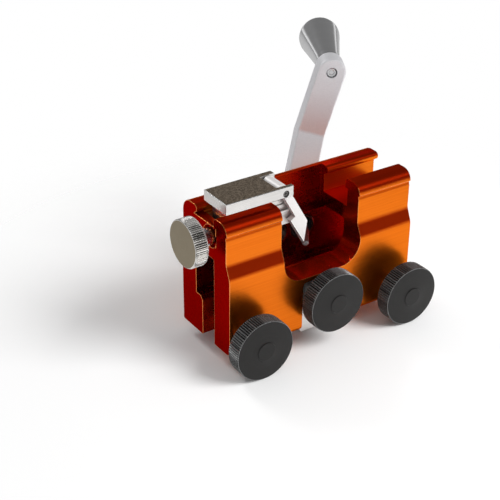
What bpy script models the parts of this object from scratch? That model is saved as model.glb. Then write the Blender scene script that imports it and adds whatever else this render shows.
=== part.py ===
# Chainsaw sharpening jig, in metres, with +Z up.
# X runs along the saw's guide bar, from the adjuster knob's end to the other.
# The clamp knobs face -Y and the crank is behind, at +Y.
# The origin is the middle of the bar face, the land in the back wall that bears on the bar.

import math

import bmesh
import bpy
from mathutils import Matrix

# Shared clearances and drawing values
fit_gap = 0.0003
overrun = 0.001
weld = 0.000001
arc_steps = 5
round_steps = 32
fine_round_steps = 48

# Saddle body
body_length = 0.088
body_height = 0.056
origin_height = 0.0085
bar_slot_width = 0.0085
lower_wall_thickness = 0.011
band_setback = 0.0025
skin_thickness = 0.0072
shoulder_low = 0.0338
shoulder_high = 0.0395
groove_width = 0.0007
groove_depth = 0.0006
bulge_overhang = 0.0005
bulge_radius = 0.0045
inner_top_radius = 0.0015
foot_radius = 0.0025
edge_radius = 0.0008
land_height = 0.016
land_slope = 0.0015
relief_depth = 0.0045
channel_depth = 0.0119
web_thickness = 0.0059
lip_thickness = 0.0042
upper_recess = 0.0013
back_lip_reach = 0.0025
back_lip_radius = 0.0017
back_wall_thickness = 0.0102
back_band_setback = 0.0012
back_top_radius = 0.0056
end_wall_thickness = 0.004
joint_overlap = 0.0005

# Window in the front wall, between its left and right posts
left_post = 0.0252
right_post = 0.0261
window_bottom = 0.0239
window_radius = 0.009
notch_depth = 0.0018

# Vise block in its slot
vise_slot_half_width = 0.00965
vise_slot_height = 0.022
vise_slot_radius = 0.002
vise_recess = 0.002
vise_hang = 0.002
vise_edge = 0.0008

# Clamp sets: knob, screw and pad
outer_clamp_inset = 0.008
outer_clamp_height = 0.0073
middle_clamp_height = 0.0148
outer_knob_face = 0.0323
middle_knob_face = 0.0297
knob_radius = 0.0127
knob_thickness = 0.0071
knob_edge = 0.0008
knob_dome = 0.0004
knob_button_radius = 0.004
knob_button_height = 0.0004
knob_flutes = 40
knob_flute_depth = 0.0004
knob_bore_depth = 0.0042
clamp_screw_radius = 0.003
clamp_tip_radius = 0.0019
clamp_tip_length = 0.0012
pad_radius = 0.0042
pad_thickness = 0.0025
pad_edge = 0.0005
bar_gap = 0.0052

# Stop carriage
plate_inset = 0.0019
plate_length = 0.0303
plate_depth = 0.0155
plate_height = 0.0045
plate_setback = 0.0027
plate_lift = 0.0027
leg_inset = 0.0035
leg_overhang = 0.0036
leg_trim = 0.0008
foot_clearance = 0.0012
clevis_length = 0.007
clevis_front = 0.0016
clevis_width = 0.0112
clevis_clearance = 0.0004

# Stop pawl and its pin
pawl_pin_inset = 0.0034
pawl_pin_drop = 0.0028
pawl_pin_radius = 0.0011
pawl_pin_recess = 0.0005
pawl_barrel_radius = 0.0027
pawl_length = 0.027
pawl_blade_thickness = 0.0026
pawl_right_width = 0.00255
pawl_left_width = 0.00345
pawl_shank_left = 0.0009
pawl_shank_length = 0.0134
pawl_tip_cut = math.radians(38)
pawl_rest_swing = math.radians(30)

# Carriage adjuster: knob, collar, lead screw and clip
lead_place = 0.0059
lead_rise = 0.0031
lead_radius = 0.0019
lead_run = 0.0235
adjuster_reach = 0.0119
adjuster_radius = 0.0096
adjuster_thickness = 0.0058
adjuster_edge = 0.0008
adjuster_flutes = 44
adjuster_flute_depth = 0.0004
adjuster_bore_depth = 0.0035
collar_radius = 0.0034
spot_face_radius = 0.0046
spot_face_depth = 0.0012
clip_radius = 0.0028
clip_thickness = 0.0008

# Guide bores and their bushings
guide_angle = math.radians(30)
guide_spread = 0.00664
guide_height = 0.0318
bushing_radius = 0.005
bit_radius = 0.004

# Grinding bit
burr_tip_reach = 0.0148
burr_length = 0.0185
burr_tip_radius = 0.0012
burr_radius = 0.0024
burr_end_radius = 0.0004
cone_length = 0.002
shank_free_length = 0.0208
shank_grip = 0.0068
spigot_radius = 0.0014
spigot_length = 0.003

# Crank
crank_throw = 0.054
crank_tilt = math.radians(16)
crank_width = 0.012
hub_reach = 0.0065
hub_edge = 0.0008
arm_thickness = 0.009
arm_offset = 0.01
arm_bend_start = 0.009
arm_bend_end = 0.026
arm_bend_shift = 0.003
set_screw_radius = 0.0015
set_screw_length = 0.0017

# Crank handle
axle_radius = 0.002
axle_recess = 0.0006
washer_radius = 0.0045
washer_thickness = 0.0008
grip_length = 0.036
grip_small_radius = 0.0048
grip_large_radius = 0.009
grip_edge = 0.0012
axle_head_radius = 0.0034
axle_head_thickness = 0.0018

# Heights above the foot become heights above the origin
foot = -origin_height
top = foot + body_height
left_end = -body_length / 2
right_end = body_length / 2
wall_inner = -bar_slot_width
lower_face = wall_inner - lower_wall_thickness
band_face = lower_face + band_setback
skin_inner = band_face + skin_thickness
relief_face = relief_depth
back_face = relief_face + back_wall_thickness
back_band_face = back_face - back_band_setback
upper_face = relief_face + upper_recess
slot_floor = top - channel_depth
tunnel_roof = slot_floor - web_thickness
lip_under = top - lip_thickness
window_left = left_end + left_post
window_right = right_end - right_post
clamp_right = right_end - outer_clamp_inset
adjuster_face = left_end - adjuster_reach
lead_end = left_end + lead_run


def clear_scene():
    for old in list(bpy.data.objects):
        bpy.data.objects.remove(old, do_unlink=True)


clear_scene()
jig = bpy.data.collections.new("chainsaw_sharpening_jig")
cutters = bpy.data.collections.new("cutters")
bpy.context.scene.collection.children.link(jig)
bpy.context.scene.collection.children.link(cutters)


def finish(name, colour, roughness, metallic):
    material = bpy.data.materials.new(name)
    material.use_nodes = True
    shader = material.node_tree.nodes["Principled BSDF"]
    shader.inputs["Base Color"].default_value = (*colour, 1)
    shader.inputs["Roughness"].default_value = roughness
    shader.inputs["Metallic"].default_value = metallic
    return material


orange_anodised = finish("orange_anodised", (0.83, 0.22, 0.02), 0.28, 1)
bare_aluminium = finish("bare_aluminium", (0.8, 0.8, 0.8), 0.35, 1)
black_plastic = finish("black_plastic", (0.02, 0.02, 0.02), 0.5, 0)
bright_steel = finish("bright_steel", (0.6, 0.6, 0.6), 0.25, 1)
dark_steel = finish("dark_steel", (0.12, 0.11, 0.1), 0.4, 1)
carbide = finish("carbide", (0.3, 0.3, 0.31), 0.3, 1)
white_nylon = finish("white_nylon", (0.85, 0.84, 0.8), 0.5, 0)


def arc(centre, radius, start, end, steps=arc_steps):
    """Points on an arc, from one angle to another in degrees."""
    points = []
    for step in range(steps + 1):
        angle = math.radians(start + (end - start) * step / steps)
        points.append((centre[0] + radius * math.cos(angle), centre[1] + radius * math.sin(angle)))
    return points


def place(obj, location=(0, 0, 0), rotation=(0, 0, 0), parent=None):
    obj.location = location
    obj.rotation_euler = rotation
    obj.parent = parent
    return obj


def flat_shape(name, points, thickness, group=jig):
    """A closed outline in the local XY plane, extruded evenly to both sides along local Z."""
    curve = bpy.data.curves.new(name, "CURVE")
    curve.dimensions = "2D"
    curve.fill_mode = "BOTH"
    curve.extrude = thickness / 2
    spline = curve.splines.new("POLY")
    spline.points.add(len(points) - 1)
    for point, (x, y) in zip(spline.points, points):
        point.co = (x, y, 0, 1)
    spline.use_cyclic_u = True
    outline = bpy.data.objects.new(name + "_outline", curve)
    group.objects.link(outline)
    bpy.context.view_layer.update()
    graph = bpy.context.evaluated_depsgraph_get()
    mesh = bpy.data.meshes.new_from_object(outline.evaluated_get(graph))
    mesh.name = name
    shape = bmesh.new()
    shape.from_mesh(mesh)
    bmesh.ops.remove_doubles(shape, verts=shape.verts, dist=weld)
    bmesh.ops.recalc_face_normals(shape, faces=shape.faces)
    shape.to_mesh(mesh)
    shape.free()
    bpy.data.objects.remove(outline, do_unlink=True)
    obj = bpy.data.objects.new(name, mesh)
    group.objects.link(obj)
    return obj


def turned(name, profile, steps=round_steps, closed=False, group=jig):
    """A profile of (radius, height) turned about local Z. It runs down its outer side, top to bottom."""
    mesh = bpy.data.meshes.new(name)
    count = len(profile)
    edges = [(i, i + 1) for i in range(count - 1)]
    if closed:
        edges.append((count - 1, 0))
    mesh.from_pydata([(radius, 0, height) for radius, height in profile], edges, [])
    obj = bpy.data.objects.new(name, mesh)
    group.objects.link(obj)
    screw = obj.modifiers.new("turn", "SCREW")
    screw.axis = "Z"
    screw.angle = math.tau
    screw.steps = steps
    screw.render_steps = steps
    screw.use_merge_vertices = True
    screw.merge_threshold = weld
    screw.use_smooth_shade = False
    return obj


def rod(name, radius, low, high, steps=round_steps, group=jig):
    return turned(name, [(0, high), (radius, high), (radius, low), (0, low)], steps, group=group)


def ring(name, outer, inner, low, high, steps=round_steps, group=jig):
    profile = [(outer, high), (outer, low), (inner, low), (inner, high)]
    return turned(name, profile, steps, closed=True, group=group)


def block(name, low, high, group=jig):
    """A box between two opposite corners."""
    shape = bmesh.new()
    bmesh.ops.create_cube(shape, size=1)
    size = [high[i] - low[i] for i in range(3)]
    middle = [(high[i] + low[i]) / 2 for i in range(3)]
    bmesh.ops.transform(
        shape, verts=shape.verts, matrix=Matrix.Translation(middle) @ Matrix.Diagonal((*size, 1))
    )
    mesh = bpy.data.meshes.new(name)
    shape.to_mesh(mesh)
    shape.free()
    obj = bpy.data.objects.new(name, mesh)
    group.objects.link(obj)
    return obj


def combine(obj, other, operation):
    step = obj.modifiers.new(operation.lower() + "_" + other.name, "BOOLEAN")
    step.operation = operation
    step.solver = "EXACT"
    step.object = other
    other.hide_render = True
    other.display_type = "WIRE"
    return obj


def cut(obj, cutter):
    return combine(obj, cutter, "DIFFERENCE")


def soften(obj, width, segments=1):
    bevel = obj.modifiers.new("soften", "BEVEL")
    bevel.width = width
    bevel.segments = segments
    bevel.limit_method = "ANGLE"
    bevel.angle_limit = math.radians(40)
    return obj


def dress(obj, material):
    obj.data.materials.clear()
    obj.data.materials.append(material)
    return obj


def empty(name, location, rotation=(0, 0, 0), parent=None):
    marker = bpy.data.objects.new(name, None)
    marker.empty_display_size = bushing_radius
    jig.objects.link(marker)
    return place(marker, location, rotation, parent)


# Turns that carry a flat shape or a turned piece into the jig's axes
facing_x = (math.radians(90), 0, math.radians(90))
facing_front = (math.radians(90), 0, 0)
axis_along_x = (0, math.radians(90), 0)
axis_to_back = (math.radians(-90), 0, 0)


def saddle_profile():
    """The extrusion's outline, as (y, z) points from the front wall's inner foot round the outside."""
    bulge_face = band_face - bulge_overhang
    nose = (upper_face - back_lip_reach + back_lip_radius, top - back_lip_radius)
    points = [(wall_inner, foot)]
    points += arc((lower_face + foot_radius, foot + foot_radius), foot_radius, 270, 180)
    points += [(lower_face, foot + shoulder_low), (band_face, foot + shoulder_high)]
    groove = top - bulge_radius - groove_width
    points += [(band_face, groove - groove_depth), (band_face + groove_depth, groove)]
    points += arc((bulge_face + bulge_radius, top - bulge_radius), bulge_radius, 180, 90)
    points += arc((wall_inner - inner_top_radius, top - inner_top_radius), inner_top_radius, 90, 0, 3)
    points += [(wall_inner, lip_under), (skin_inner, lip_under), (skin_inner, slot_floor)]
    points += [(upper_face, slot_floor), (upper_face, lip_under)]
    points += arc(nose, back_lip_radius, 215, 90)
    points += arc((back_band_face - back_top_radius, top - back_top_radius), back_top_radius, 90, 0)
    points += [(back_band_face, foot + shoulder_high), (back_face, foot + shoulder_low)]
    points += arc((back_face - edge_radius, foot + edge_radius), edge_radius, 0, -90, 2)
    points += arc((edge_radius, foot + edge_radius), edge_radius, 270, 180, 2)
    points += [(0, foot + land_height), (land_slope, foot + land_height + land_slope)]
    points += [(relief_face, foot + land_height + land_slope)]
    points += [(relief_face, tunnel_roof), (wall_inner, tunnel_roof)]
    return points


def window_outline():
    low = foot + window_bottom
    high = top + overrun
    points = [(window_left, high)]
    points += arc((window_left + window_radius, low + window_radius), window_radius, 180, 270)
    points += arc((window_right - window_radius, low + window_radius), window_radius, 270, 360)
    points += [(window_right, high)]
    return points


def vise_slot_outline():
    low = foot - overrun
    high = foot + vise_slot_height
    side = vise_slot_half_width
    points = [(-side, low), (side, low)]
    points += arc((side - vise_slot_radius, high - vise_slot_radius), vise_slot_radius, 0, 90, 3)
    points += arc((vise_slot_radius - side, high - vise_slot_radius), vise_slot_radius, 90, 180, 3)
    return points


def guide_frame(name, side):
    """An empty on a guide bore's axis, in the relief face, with its Z pointing out of the back."""
    tilt = (math.radians(-90), 0, -side * guide_angle)
    return empty(name, (side * guide_spread, relief_face, foot + guide_height), tilt)


right_guide = guide_frame("right_guide_axis", 1)
left_guide = guide_frame("left_guide_axis", -1)
guides = {"right": right_guide, "left": left_guide}
guide_run = back_wall_thickness / math.cos(guide_angle)
clamps = {
    "left": (-clamp_right, foot + outer_clamp_height, outer_knob_face),
    "right": (clamp_right, foot + outer_clamp_height, outer_knob_face),
    "middle": (0, foot + middle_clamp_height, middle_knob_face),
}
lead_axis = (0, -lead_place, slot_floor + lead_rise)


def main_body():
    body = place(flat_shape("main_body", saddle_profile(), body_length), rotation=facing_x)
    end_wall = block(
        "end_wall",
        (left_end, skin_inner - joint_overlap, slot_floor - joint_overlap),
        (left_end + end_wall_thickness, upper_face + joint_overlap, lip_under + joint_overlap),
        cutters,
    )
    combine(body, end_wall, "UNION")

    front = lower_face - overrun
    slot_back = wall_inner + overrun
    window = flat_shape("window_cutter", window_outline(), slot_back - front, cutters)
    cut(body, place(window, (0, (front + slot_back) / 2, 0), facing_front))

    notch = block(
        "web_notch_cutter",
        (window_left, wall_inner, tunnel_roof - fit_gap),
        (window_right, upper_face + notch_depth, top + overrun),
        cutters,
    )
    cut(body, notch)

    slot = flat_shape("vise_slot_cutter", vise_slot_outline(), slot_back - front, cutters)
    cut(body, place(slot, (0, (front + slot_back) / 2, 0), facing_front))

    for side in ("left", "right"):
        x, z, _ = clamps[side]
        depth = lower_wall_thickness + 2 * overrun
        hole = rod(side + "_clamp_hole", clamp_screw_radius + fit_gap, 0, depth, group=cutters)
        cut(body, place(hole, (x, front, z), axis_to_back))

    for side, guide in guides.items():
        run_in = bushing_radius
        bore = rod(
            side + "_guide_bore", bushing_radius + fit_gap, -run_in, guide_run + run_in, group=cutters
        )
        cut(body, place(bore, parent=guide))

    screw_hole = rod(
        "lead_screw_hole", lead_radius + fit_gap, 0, end_wall_thickness + 2 * overrun, group=cutters
    )
    cut(body, place(screw_hole, (left_end - overrun, *lead_axis[1:]), axis_along_x))
    spot_face = rod("spot_face_cutter", spot_face_radius, 0, spot_face_depth + overrun, group=cutters)
    cut(body, place(spot_face, (left_end - overrun, *lead_axis[1:]), axis_along_x))
    return dress(body, orange_anodised)


def guide_bushing(side):
    """A steel ring in a guide bore, its ends cut flush with the back wall's two faces."""
    name = "guide_bushing_" + side
    run_in = bushing_radius
    bushing = ring(
        name, bushing_radius, bit_radius + fit_gap, -run_in, guide_run + run_in, fine_round_steps
    )
    place(bushing, parent=guides[side])
    x = guide_spread + guide_run
    wall = block(
        side + "_wall_slab",
        (-x - bushing_radius, relief_face, foot + guide_height - 2 * bushing_radius),
        (x + bushing_radius, back_face, foot + guide_height + 2 * bushing_radius),
        cutters,
    )
    combine(bushing, wall, "INTERSECT")
    return dress(bushing, dark_steel)


def vise_block():
    side = vise_slot_half_width - fit_gap
    high = foot + vise_slot_height - fit_gap
    low = foot - vise_hang
    radius = vise_slot_radius
    outline = [(-side, low + vise_edge), (vise_edge - side, low)]
    outline += [(side - vise_edge, low), (side, low + vise_edge)]
    outline += arc((side - radius, high - radius), radius, 0, 90, 3)
    outline += arc((radius - side, high - radius), radius, 90, 180, 3)
    front = lower_face + vise_recess
    back = wall_inner - fit_gap
    vise = flat_shape("vise_block", outline, back - front)
    place(vise, (0, (front + back) / 2, 0), facing_front)
    depth = back - front + 2 * overrun
    hole = rod("vise_screw_hole", clamp_screw_radius + fit_gap, 0, depth, group=cutters)
    x, z, _ = clamps["middle"]
    cut(vise, place(hole, (x, front - overrun, z), axis_to_back))
    return dress(vise, bare_aluminium)


def fluted_outline(radius, flutes, depth):
    points = []
    for step in range(2 * flutes):
        angle = math.tau * step / (2 * flutes)
        reach = radius - depth * (step % 2)
        points.append((reach * math.cos(angle), reach * math.sin(angle)))
    return points


def fluted_knob(name, radius, thickness, edge, flutes, flute_depth, crown, bore_radius, bore_depth):
    """A knurled disc from its back at z 0 down to its face at -thickness, with a blind bore in its back."""
    body = flat_shape(name, fluted_outline(radius, flutes, flute_depth), 3 * thickness)
    outside = radius + overrun
    profile = [
        (0, 0),
        (radius - edge, 0),
        (outside, -edge - overrun),
        (outside, edge + overrun - thickness),
        (radius - edge, -thickness),
    ]
    envelope = turned(name + "_envelope", profile + crown, fine_round_steps, group=cutters)
    combine(body, envelope, "INTERSECT")
    bore = rod(name + "_bore", bore_radius, -bore_depth, overrun, group=cutters)
    cut(body, bore)
    for helper in (envelope, bore):
        helper.parent = body
    return body


def clamp_knob_crown():
    rim = knob_radius - knob_edge
    face = -knob_thickness
    return [
        ((rim + knob_button_radius) / 2, face - knob_dome / 2),
        (knob_button_radius, face - knob_dome),
        (knob_button_radius, face - knob_dome - knob_button_height),
        (0, face - knob_dome - knob_button_height),
    ]


def clamp_set(side):
    """A knob, its screw and the pad at the screw's end, on an axis along Y."""
    x, z, face = clamps[side]
    axis = empty(side + "_clamp_axis", (x, 0, z), axis_to_back)
    knob_back = knob_thickness - face
    knob = fluted_knob(
        side + "_clamp_knob",
        knob_radius,
        knob_thickness,
        knob_edge,
        knob_flutes,
        knob_flute_depth,
        clamp_knob_crown(),
        clamp_screw_radius + fit_gap,
        knob_bore_depth,
    )
    place(knob, (0, 0, knob_back), parent=axis)
    pad_back = -bar_gap - pad_thickness
    shoulder = pad_back - fit_gap
    screw = turned(
        side + "_clamp_screw",
        [
            (0, shoulder + clamp_tip_length),
            (clamp_tip_radius, shoulder + clamp_tip_length),
            (clamp_tip_radius, shoulder),
            (clamp_screw_radius, shoulder),
            (clamp_screw_radius, knob_back - knob_bore_depth + fit_gap),
            (0, knob_back - knob_bore_depth + fit_gap),
        ],
    )
    place(screw, parent=axis)
    socket = clamp_tip_radius + fit_gap
    pad = turned(
        side + "_clamp_pad",
        [
            (0, -bar_gap),
            (pad_radius - pad_edge, -bar_gap),
            (pad_radius, -bar_gap - pad_edge),
            (pad_radius, pad_back),
            (socket, pad_back),
            (socket, pad_back + clamp_tip_length),
            (0, pad_back + clamp_tip_length),
        ],
    )
    place(pad, parent=axis)
    return dress(knob, black_plastic), dress(screw, bright_steel), dress(pad, white_nylon)


plate_front = band_face + plate_setback
plate_low = top + plate_lift
plate_high = plate_low + plate_height
plate_left = left_end + plate_inset
plate_right = plate_left + plate_length
pawl_x = plate_right - pawl_pin_inset
pawl_z = plate_high - pawl_pin_drop
clevis_face = plate_front + clevis_front


def stop_carriage():
    """The plate on top of the walls, with a T-shaped leg in the slot between them."""
    neck_front = wall_inner + fit_gap
    neck_back = plate_front + plate_depth - fit_gap
    foot_front = skin_inner + fit_gap
    foot_back = upper_face - fit_gap
    foot_low = slot_floor + fit_gap
    foot_high = lip_under - foot_clearance
    leg_outline = [
        (foot_front, plate_low + joint_overlap),
        (foot_front, top + fit_gap),
        (neck_front, top + fit_gap),
        (neck_front, foot_high),
        (foot_front, foot_high),
        (foot_front, foot_low),
        (foot_back, foot_low),
        (foot_back, foot_high),
        (neck_back, foot_high),
        (neck_back, plate_low + joint_overlap),
    ]
    carriage = soften(
        block(
            "stop_carriage",
            (plate_left, plate_front, plate_low),
            (plate_right, plate_front + plate_depth, plate_high),
        ),
        fit_gap,
    )
    leg_left = plate_left + leg_inset
    leg_right = plate_right + leg_overhang
    leg_length = leg_right - leg_left
    leg = flat_shape("carriage_leg", leg_outline, leg_length, cutters)
    place(leg, ((leg_right + leg_left) / 2, 0, 0), facing_x)
    clevis_low = pawl_z - pawl_barrel_radius - clevis_clearance
    trim = block(
        "leg_trim_cutter",
        (plate_right - leg_trim, foot_front - overrun, clevis_low),
        (leg_right + overrun, neck_back + overrun, plate_low + overrun),
        cutters,
    )
    cut(leg, trim)
    combine(carriage, leg, "UNION")
    clevis = block(
        "clevis_cutter",
        (plate_right - clevis_length, clevis_face, clevis_low),
        (plate_right + overrun, clevis_face + clevis_width, plate_high + overrun),
        cutters,
    )
    cut(carriage, clevis)
    depth = plate_depth + 2 * overrun
    pin_hole = rod("pawl_pin_hole", pawl_pin_radius + fit_gap, 0, depth, group=cutters)
    cut(carriage, place(pin_hole, (pawl_x, plate_front - overrun, pawl_z), axis_to_back))
    thread = rod(
        "carriage_thread", lead_radius + fit_gap, 0, leg_length + 2 * overrun, group=cutters
    )
    cut(carriage, place(thread, (leg_left - overrun, *lead_axis[1:]), axis_along_x))
    return dress(carriage, bare_aluminium)


def pawl_pin():
    """A pin through both cheeks of the carriage, a little short of their faces."""
    pin = rod("pawl_pin", pawl_pin_radius, pawl_pin_recess, plate_depth - pawl_pin_recess, 24)
    place(pin, (pawl_x, plate_front, pawl_z), axis_to_back)
    return dress(pin, dark_steel)


def stop_pawl():
    """A barrel on the pin with a flat finger, its tip cut to a point on the side next to the knob."""
    left = -pawl_left_width
    right = pawl_right_width
    slant = (right - left) / math.tan(pawl_tip_cut)
    outline = [(-pawl_shank_left, 0), (-pawl_shank_left, -pawl_shank_length), (left, -pawl_shank_length)]
    outline += [(left, -pawl_length), (right, slant - pawl_length)]
    outline += arc((0, 0), right, 0, math.degrees(math.acos(-pawl_shank_left / right)), 8)
    blade = flat_shape("stop_pawl", outline, pawl_blade_thickness)
    axis = empty("pawl_axis", (pawl_x, clevis_face + fit_gap, pawl_z), (0, -pawl_rest_swing, 0))
    place(blade, (0, pawl_blade_thickness / 2, 0), facing_front, axis)
    barrel_length = clevis_width - 2 * fit_gap
    barrel = rod("pawl_barrel", pawl_barrel_radius, joint_overlap, barrel_length, 24, cutters)
    combine(blade, place(barrel, (0, 0, 0), axis_to_back, axis), "UNION")
    bore = rod(
        "pawl_bore", pawl_pin_radius + fit_gap, -overrun, barrel_length + overrun, 24, cutters
    )
    cut(blade, place(bore, (0, 0, 0), axis_to_back, axis))
    return dress(blade, bare_aluminium)


def adjuster():
    """The knurled knob at the left end, its collar, the lead screw and the clip behind the end wall."""
    axis = empty("adjuster_axis", lead_axis, axis_along_x)
    knob_back = adjuster_face + adjuster_thickness
    knob = fluted_knob(
        "adjuster_knob",
        adjuster_radius,
        adjuster_thickness,
        adjuster_edge,
        adjuster_flutes,
        adjuster_flute_depth,
        [(0, -adjuster_thickness)],
        lead_radius + fit_gap,
        adjuster_bore_depth,
    )
    place(knob, (0, 0, knob_back), parent=axis)
    collar = ring(
        "adjuster_collar",
        collar_radius,
        lead_radius + fit_gap,
        knob_back + fit_gap,
        left_end + spot_face_depth - fit_gap,
    )
    place(collar, parent=axis)
    screw = rod("lead_screw", lead_radius, knob_back - adjuster_bore_depth + fit_gap, lead_end, 24)
    place(screw, parent=axis)
    clip_low = left_end + end_wall_thickness + fit_gap
    clip = ring("lead_screw_clip", clip_radius, lead_radius + fit_gap, clip_low, clip_low + clip_thickness)
    place(clip, parent=axis)
    dress(knob, bare_aluminium)
    dress(collar, bright_steel)
    dress(screw, bright_steel)
    dress(clip, dark_steel)


burr_low = -burr_tip_reach
burr_high = burr_low + burr_length
cone_high = burr_high + cone_length
hub_face = cone_high + shank_free_length
crank_axis = empty(
    "crank_axis", (0, 0, 0), (0, 0, math.radians(-90) + crank_tilt), parent=right_guide
)


def bit():
    """The shank and the burr on its end. Local Z runs out of the back along the guide bore."""
    shank = turned(
        "bit_shank",
        [
            (0, hub_face + shank_grip),
            (bit_radius, hub_face + shank_grip),
            (bit_radius, cone_high),
            (burr_radius, burr_high + fit_gap),
            (spigot_radius + fit_gap, burr_high + fit_gap),
            (spigot_radius + fit_gap, burr_high + spigot_length + fit_gap),
            (0, burr_high + spigot_length + fit_gap),
        ],
    )
    place(shank, parent=right_guide)
    burr = turned(
        "burr",
        [
            (0, burr_high + spigot_length),
            (spigot_radius, burr_high + spigot_length),
            (spigot_radius, burr_high),
            (burr_radius, burr_high),
            (burr_radius, burr_low + burr_length / 2),
            (burr_tip_radius, burr_low + burr_end_radius),
            (burr_tip_radius - burr_end_radius, burr_low),
            (0, burr_low),
        ],
        24,
    )
    place(burr, parent=right_guide)
    dress(shank, bright_steel)
    dress(burr, carbide)


def crank_arm():
    """A bar with a step along the bore's axis, from its hub on the bit to its rounded handle end."""
    near = hub_face
    handle_near = near + arm_offset
    reach = crank_throw + crank_width
    side_view = [
        (-hub_reach, near),
        (arm_bend_start, near),
        (arm_bend_end, handle_near),
        (reach, handle_near),
        (reach, handle_near + arm_thickness),
        (arm_bend_end - arm_bend_shift, handle_near + arm_thickness),
        (arm_bend_start - arm_bend_shift, near + arm_thickness),
        (-hub_reach, near + arm_thickness),
    ]
    arm = flat_shape("crank_arm", side_view, 2 * crank_width)
    place(arm, rotation=facing_front, parent=crank_axis)

    half = crank_width / 2
    plan = [(-hub_reach + hub_edge, -half)]
    plan += arc((crank_throw, 0), half, -90, 90, 10)
    plan += [(-hub_reach + hub_edge, half), (-hub_reach, half - hub_edge), (-hub_reach, hub_edge - half)]
    low = near - overrun
    high = handle_near + arm_thickness + overrun
    face = flat_shape("crank_plan", plan, high - low, cutters)
    combine(arm, place(face, (0, 0, (low + high) / 2), parent=crank_axis), "INTERSECT")

    shank_bore = rod("shank_bore", bit_radius + fit_gap, low, high, group=cutters)
    cut(arm, place(shank_bore, parent=crank_axis))
    axle_hole = rod("axle_hole", axle_radius + fit_gap, low, high, 24, cutters)
    cut(arm, place(axle_hole, (crank_throw, 0, 0), parent=crank_axis))
    screw_hole = rod(
        "set_screw_hole", set_screw_radius + fit_gap, -hub_reach - overrun, 0, 24, cutters
    )
    cut(arm, place(screw_hole, (0, 0, near + arm_thickness / 2), axis_along_x, crank_axis))
    return dress(arm, bare_aluminium)


def bit_set_screw():
    low = -bit_radius - fit_gap - set_screw_length
    screw = rod("bit_set_screw", set_screw_radius, low, low + set_screw_length, 24)
    place(screw, (0, 0, hub_face + arm_thickness / 2), axis_along_x, crank_axis)
    return dress(screw, dark_steel)


def handle():
    """The tapered grip that spins on its axle, with a washer between the grip and the arm."""
    arm_near = hub_face + arm_offset
    arm_far = arm_near + arm_thickness
    washer_low = arm_far + fit_gap
    grip_low = washer_low + washer_thickness + fit_gap
    grip_high = grip_low + grip_length
    head_low = grip_high - axle_head_thickness - fit_gap
    bore = axle_radius + fit_gap
    head_bore = axle_head_radius + fit_gap
    axis = empty("handle_axis", (crank_throw, 0, 0), parent=crank_axis)
    axle = turned(
        "handle_axle",
        [
            (0, head_low + axle_head_thickness),
            (axle_head_radius, head_low + axle_head_thickness),
            (axle_head_radius, head_low),
            (axle_radius, head_low),
            (axle_radius, arm_near + axle_recess),
            (0, arm_near + axle_recess),
        ],
        24,
    )
    place(axle, parent=axis)
    washer = ring("handle_washer", washer_radius, bore, washer_low, washer_low + washer_thickness, 24)
    place(washer, parent=axis)
    grip = turned(
        "crank_grip",
        [
            (head_bore, grip_high),
            (grip_large_radius - grip_edge, grip_high),
            (grip_large_radius, grip_high - grip_edge),
            (grip_small_radius, grip_low),
            (bore, grip_low),
            (bore, head_low - fit_gap),
            (head_bore, head_low - fit_gap),
        ],
        fine_round_steps,
        closed=True,
    )
    place(grip, parent=axis)
    dress(axle, bright_steel)
    dress(washer, bright_steel)
    dress(grip, bare_aluminium)


main_body()
for side_name in guides:
    guide_bushing(side_name)
vise_block()
for clamp_name in clamps:
    clamp_set(clamp_name)
stop_carriage()
pawl_pin()
stop_pawl()
adjuster()
bit()
crank_arm()
bit_set_screw()
handle()
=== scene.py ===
import math

import bpy
from mathutils import Euler, Matrix, Vector


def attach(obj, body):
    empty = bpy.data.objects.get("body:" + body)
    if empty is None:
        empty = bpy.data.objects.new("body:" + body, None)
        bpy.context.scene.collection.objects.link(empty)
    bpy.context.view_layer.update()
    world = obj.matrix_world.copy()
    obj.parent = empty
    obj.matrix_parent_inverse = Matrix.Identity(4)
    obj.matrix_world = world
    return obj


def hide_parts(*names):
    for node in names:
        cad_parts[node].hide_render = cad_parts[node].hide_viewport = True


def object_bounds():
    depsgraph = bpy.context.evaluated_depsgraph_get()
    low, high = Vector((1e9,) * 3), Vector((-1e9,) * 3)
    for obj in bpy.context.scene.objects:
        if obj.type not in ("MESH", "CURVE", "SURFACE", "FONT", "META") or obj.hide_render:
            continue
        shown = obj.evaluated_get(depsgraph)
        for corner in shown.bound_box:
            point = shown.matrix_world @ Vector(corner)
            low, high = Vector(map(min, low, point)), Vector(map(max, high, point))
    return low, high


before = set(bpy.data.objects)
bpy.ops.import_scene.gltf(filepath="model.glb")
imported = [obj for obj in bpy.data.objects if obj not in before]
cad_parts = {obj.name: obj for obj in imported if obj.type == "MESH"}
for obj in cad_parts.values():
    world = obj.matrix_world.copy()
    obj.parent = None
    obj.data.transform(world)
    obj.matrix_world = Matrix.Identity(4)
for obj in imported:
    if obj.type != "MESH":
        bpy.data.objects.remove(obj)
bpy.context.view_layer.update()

mm = 0.001
weldReach = 0.002 * mm  # points closer than this become one
past = 1  # how far a cutter reaches past a face, in mm
ribEdges = 4  # lengthwise edges for each rib of a knob: two stay out and two are pulled in
print("frame loaded:", len(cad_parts), "nodes")


# small helpers: selecting, drawing, turning and cutting

def startEdit():
    bpy.ops.object.mode_set(mode="EDIT")
    bpy.ops.mesh.select_all(action="SELECT")


def endEdit():
    bpy.ops.mesh.select_all(action="SELECT")
    bpy.ops.mesh.normals_make_consistent(inside=False)
    bpy.ops.object.mode_set(mode="OBJECT")


def deselectAll():
    if bpy.context.mode != "OBJECT":
        bpy.ops.object.mode_set(mode="OBJECT")
    bpy.ops.object.select_all(action="DESELECT")


def pick(piece):
    deselectAll()
    piece.select_set(True)
    bpy.context.view_layer.objects.active = piece


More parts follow.
